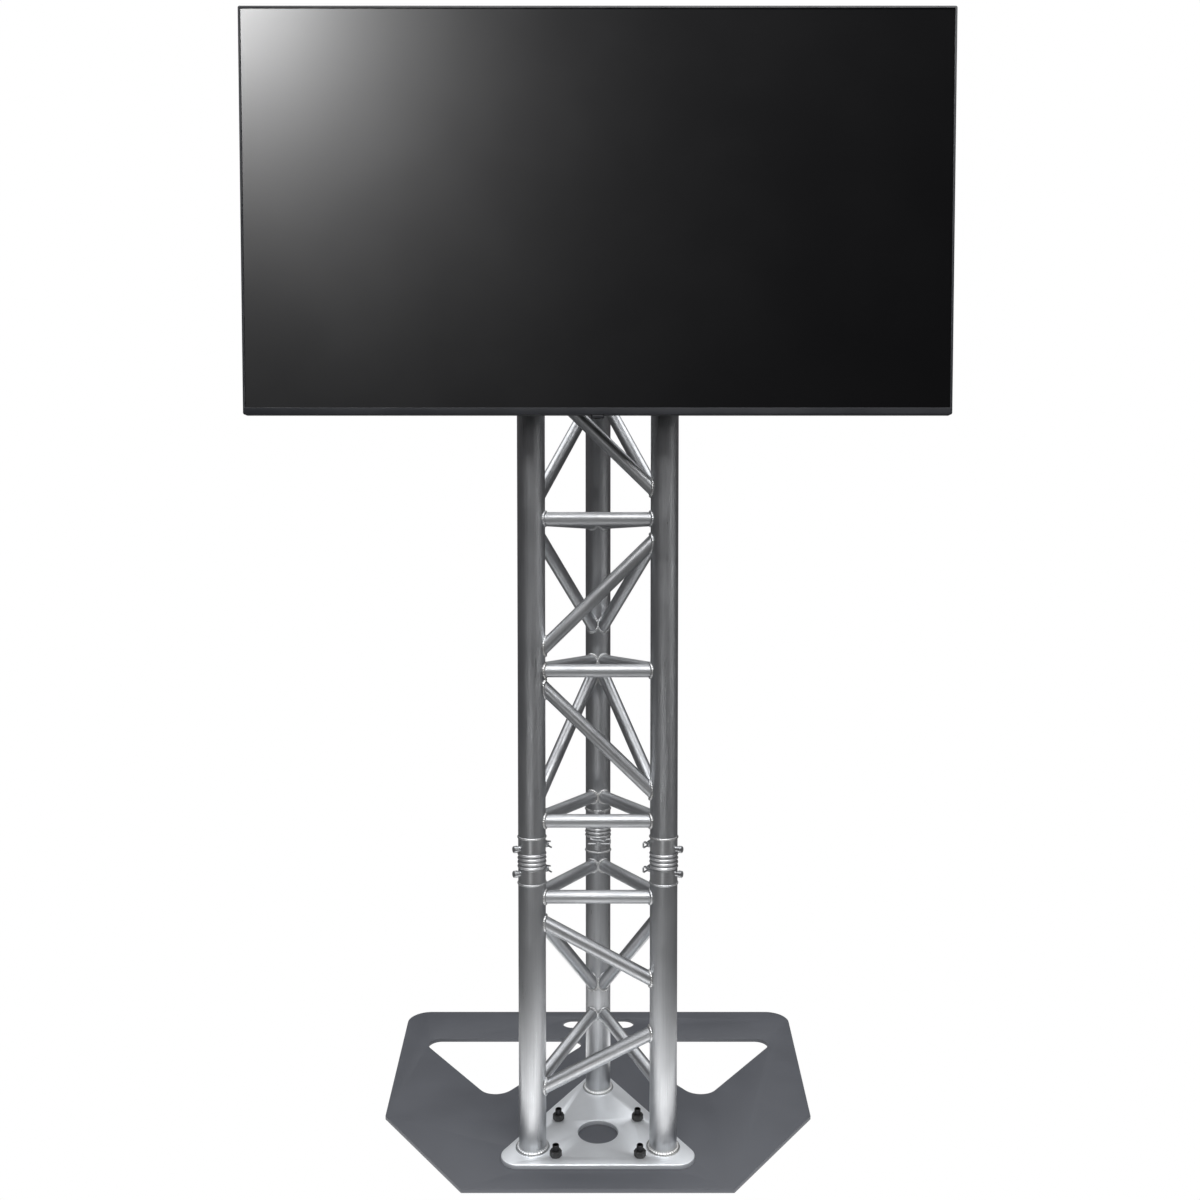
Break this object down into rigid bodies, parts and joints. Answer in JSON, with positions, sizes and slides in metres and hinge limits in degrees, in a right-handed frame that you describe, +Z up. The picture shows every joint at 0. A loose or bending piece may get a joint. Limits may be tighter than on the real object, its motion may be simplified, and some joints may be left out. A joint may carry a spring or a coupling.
{
  "type": "truss display stand",
  "caption": "Free-standing triangular aluminium truss tower on a steel floor plate, with a pinned joint and a tilting flat display.",
  "frame": {"origin": "on the floor, under the central axis of the truss tower, at the underside of the floor plate", "axes": "+Z up along the tower; the display faces -Y; +X is to the right as seen from the front"},
  "size_m": [1.18, 0.687, 2.049],
  "materials": {
    "satin_aluminium": "drawn tube, satin, with fine lengthwise lines and dulled handling marks",
    "machined_aluminium": "turned, with bright rings at the grooves",
    "mill_plate": "bright mill-finish plate",
    "floor_paint": "matt dark grey powder coat",
    "black_oxide": "black oxide",
    "zinc_steel": "bright zinc",
    "bracket_paint": "fine textured black powder coat",
    "knob_plastic": "moulded, satin",
    "bezel_black": "dark satin",
    "screen_glass": "semi-gloss anti-glare",
    "diffuser": "milky",
    "cover_black": "moulded, fine texture",
    "board_green": "solder mask"
  },
  "bodies": {
    "stand": {"base_bolts": "black_oxide", "base_nuts": "black_oxide", "base_plate": "mill_plate", "bracket_bolts": "zinc_steel", "bracket_rails": "bracket_paint", "clamp_saddles": "machined_aluminium", "floor_plate": "floor_paint", "lower_chord_back": "satin_aluminium", "lower_chord_left": "satin_aluminium", "lower_chord_right": "satin_aluminium", "lower_front_diagonals": "satin_aluminium", "lower_left_diagonals": "satin_aluminium", "lower_receivers": "machined_aluminium", "lower_right_diagonals": "satin_aluminium", "lower_rungs": "satin_aluminium", "spigots": "machined_aluminium", "tilt_shaft": "zinc_steel", "top_receivers": "machined_aluminium", "u_bolt_nuts": "zinc_steel", "u_bolts": "zinc_steel", "upper_chord_back": "satin_aluminium", "upper_chord_left": "satin_aluminium", "upper_chord_right": "satin_aluminium", "upper_front_diagonals": "satin_aluminium", "upper_front_rungs": "satin_aluminium", "upper_left_diagonals": "satin_aluminium", "upper_left_rungs": "satin_aluminium", "upper_receivers": "machined_aluminium", "upper_right_diagonals": "satin_aluminium", "upper_right_rungs": "satin_aluminium", "wall_plate": "bracket_paint"},
    "display": {"bezel": "bezel_black", "screen_panel": "screen_glass", "light_guide": "diffuser", "backlight_tray": "zinc_steel", "rear_cover": "cover_black", "mains_inlet": "cover_black", "power_board": "board_green", "main_board": "board_green", "speakers": "cover_black", "vesa_posts": "zinc_steel", "vesa_screws": "zinc_steel", "sensor_housing": "bezel_black", "tilt_plate": "bracket_paint"},
    "power_button": {"power_button": "knob_plastic"},
    "left_tilt_knob": {"left_tilt_knob": "knob_plastic"},
    "right_tilt_knob": {"right_tilt_knob": "knob_plastic"},
    "lower_pin_left": {"lower_pin_left": "zinc_steel"},
    "lower_clip_left": {"lower_clip_left": "zinc_steel"},
    "lower_pin_right": {"lower_pin_right": "zinc_steel"},
    "lower_clip_right": {"lower_clip_right": "zinc_steel"},
    "lower_pin_back": {"lower_pin_back": "zinc_steel"},
    "lower_clip_back": {"lower_clip_back": "zinc_steel"},
    "upper_pin_left": {"upper_pin_left": "zinc_steel"},
    "upper_clip_left": {"upper_clip_left": "zinc_steel"},
    "upper_pin_right": {"upper_pin_right": "zinc_steel"},
    "upper_clip_right": {"upper_clip_right": "zinc_steel"},
    "upper_pin_back": {"upper_pin_back": "zinc_steel"},
    "upper_clip_back": {"upper_clip_back": "zinc_steel"}
  },
  "joints": [
    {"name": "display_tilt", "type": "hinge", "parent": "stand", "child": "display", "pos_m": [0, -0.129, 1.66553], "axis": [1, 0, 0], "range_deg": [-5, 10]},
    {"name": "power_press", "type": "slide", "parent": "display", "child": "power_button", "axis": [0, 0, 1], "range_m": [0, 0.0008], "stiffness_N_per_m": 600, "springref_m": -0.0008},
    {"name": "left_knob_turn", "type": "hinge", "parent": "stand", "child": "left_tilt_knob", "pos_m": [-0.075, -0.129, 1.66553], "axis": [1, 0, 0], "continuous": true},
    {"name": "right_knob_turn", "type": "hinge", "parent": "stand", "child": "right_tilt_knob", "pos_m": [0.075, -0.129, 1.66553], "axis": [1, 0, 0], "continuous": true},
    {"name": "lower_pin_left_slide", "type": "slide", "parent": "stand", "child": "lower_pin_left", "axis": [-0.866, -0.5, 0], "range_m": [-0.004, 0.002]},
    {"name": "lower_clip_left_slide", "type": "slide", "parent": "lower_pin_left", "child": "lower_clip_left", "axis": [-0.5, 0.866, 0], "range_m": [0, 0.028]},
    {"name": "lower_pin_right_slide", "type": "slide", "parent": "stand", "child": "lower_pin_right", "axis": [0.866, -0.5, 0], "range_m": [-0.004, 0.002]},
    {"name": "lower_clip_right_slide", "type": "slide", "parent": "lower_pin_right", "child": "lower_clip_right", "axis": [-0.5, -0.866, 0], "range_m": [0, 0.028]},
    {"name": "lower_pin_back_slide", "type": "slide", "parent": "stand", "child": "lower_pin_back", "axis": [0, 1, 0], "range_m": [-0.004, 0.002]},
    {"name": "lower_clip_back_slide", "type": "slide", "parent": "lower_pin_back", "child": "lower_clip_back", "axis": [1, 0, 0], "range_m": [0, 0.028]},
    {"name": "upper_pin_left_slide", "type": "slide", "parent": "stand", "child": "upper_pin_left", "axis": [-0.866, -0.5, 0], "range_m": [-0.004, 0.002]},
    {"name": "upper_clip_left_slide", "type": "slide", "parent": "upper_pin_left", "child": "upper_clip_left", "axis": [-0.5, 0.866, 0], "range_m": [0, 0.028]},
    {"name": "upper_pin_right_slide", "type": "slide", "parent": "stand", "child": "upper_pin_right", "axis": [0.866, -0.5, 0], "range_m": [-0.004, 0.002]},
    {"name": "upper_clip_right_slide", "type": "slide", "parent": "upper_pin_right", "child": "upper_clip_right", "axis": [-0.5, -0.866, 0], "range_m": [0, 0.028]},
    {"name": "upper_pin_back_slide", "type": "slide", "parent": "stand", "child": "upper_pin_back", "axis": [0, 1, 0], "range_m": [-0.004, 0.002]},
    {"name": "upper_clip_back_slide", "type": "slide", "parent": "upper_pin_back", "child": "upper_clip_back", "axis": [1, 0, 0], "range_m": [0, 0.028]}
  ]
}
